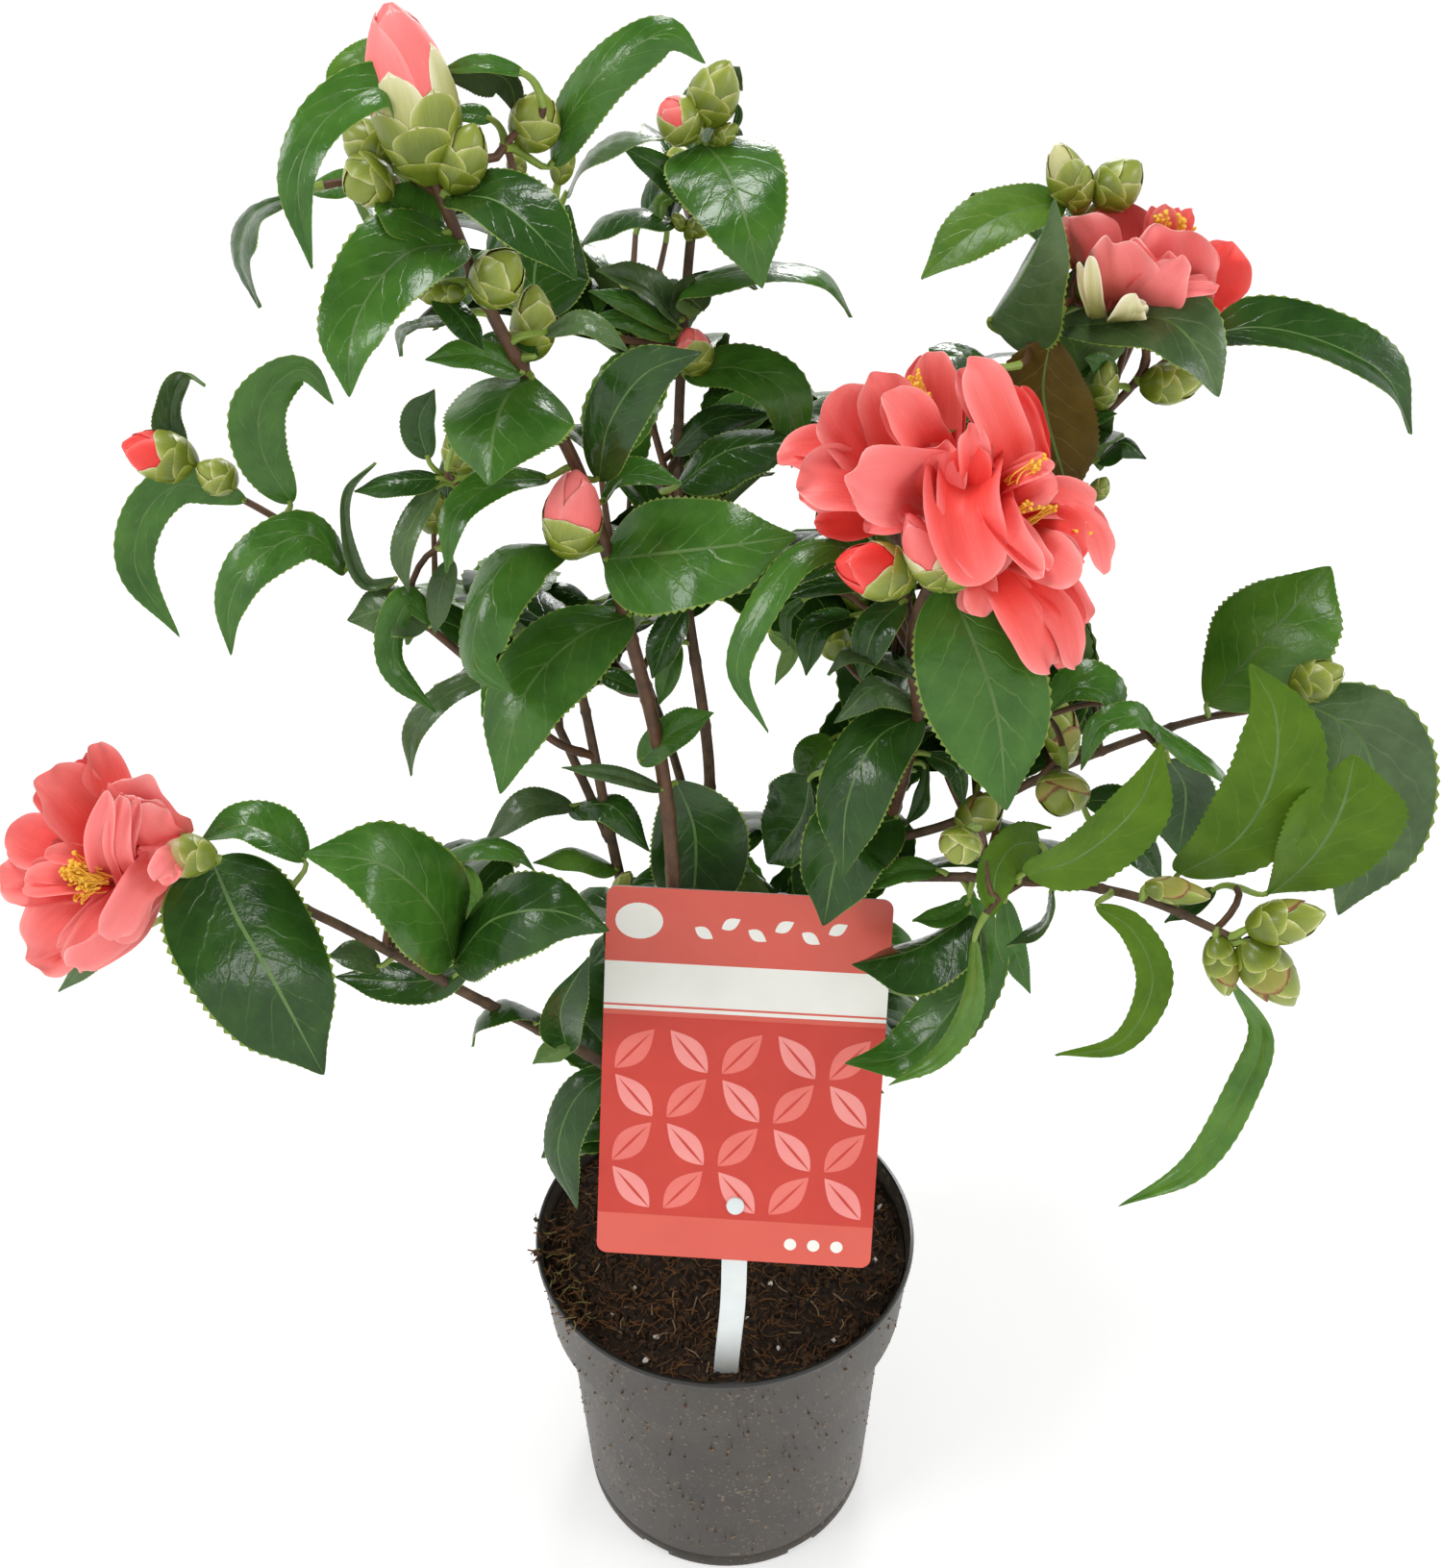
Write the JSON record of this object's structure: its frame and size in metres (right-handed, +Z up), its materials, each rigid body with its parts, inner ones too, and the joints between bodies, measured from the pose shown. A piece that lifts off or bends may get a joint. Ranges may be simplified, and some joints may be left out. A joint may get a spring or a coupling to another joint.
{
  "type": "camellia shrub in nursery pot",
  "caption": "Young flowering camellia shrub with coral pink blooms and buds, several stems and glossy dark leaves, standing in a round black nursery pot with a blank label on a stick.",
  "frame": {"origin": "centre of the pot's flat underside", "axes": "+Z up along the pot's axis, -Y towards the side that the label faces, +X to the right seen from there"},
  "size_m": [0.4902, 0.2563, 0.633],
  "materials": {
    "pot_plastic": "moulded dark grey plastic, dusty",
    "compost": "moist peat compost",
    "card_print": "printed plastic card, satin",
    "stick_plastic": "translucent white plastic",
    "bark": "smooth brown young bark",
    "foliage": "glossy dark green leaves",
    "petals": "coral pink petals"
  },
  "bodies": {
    "root": {"back_left_bough": "bark", "back_middle_bough": "bark", "back_right_bough": "bark", "base_leaf": "foliage", "centre_bloom_bough": "bark", "centre_left_bloom": "petals", "centre_left_bloom_stalk": "bark", "centre_right": "foliage", "centre_right_bloom": "petals", "compost": "compost", "crown_back": "foliage", "crown_back_bough": "bark", "crown_left": "foliage", "crown_middle": "foliage", "crown_right": "foliage", "inner_right": "foliage", "label_card": "card_print", "label_stick": "stick_plastic", "left_back": "foliage", "left_bough": "bark", "left_inner": "foliage", "left_leader": "bark", "left_shoot": "foliage", "left_stem": "bark", "low_back": "foliage", "low_back_bough": "bark", "low_left_bloom": "petals", "low_left_bough": "bark", "low_left_inner": "foliage", "low_left_outer": "foliage", "low_middle": "foliage", "low_right": "foliage", "low_right_bough": "bark", "low_right_hang": "foliage", "middle": "foliage", "middle_back": "foliage", "opening_bud": "petals", "pot": "pot_plastic", "right_back": "foliage", "right_back_low": "foliage", "right_bough": "bark", "right_leader": "bark", "right_outer": "foliage", "right_stem": "bark", "top_right_bough": "bark", "trunk": "bark", "upper_right": "foliage", "upper_right_bloom": "petals", "upper_right_spur": "foliage", "upper_right_twig": "bark"}
  },
  "joints": []
}
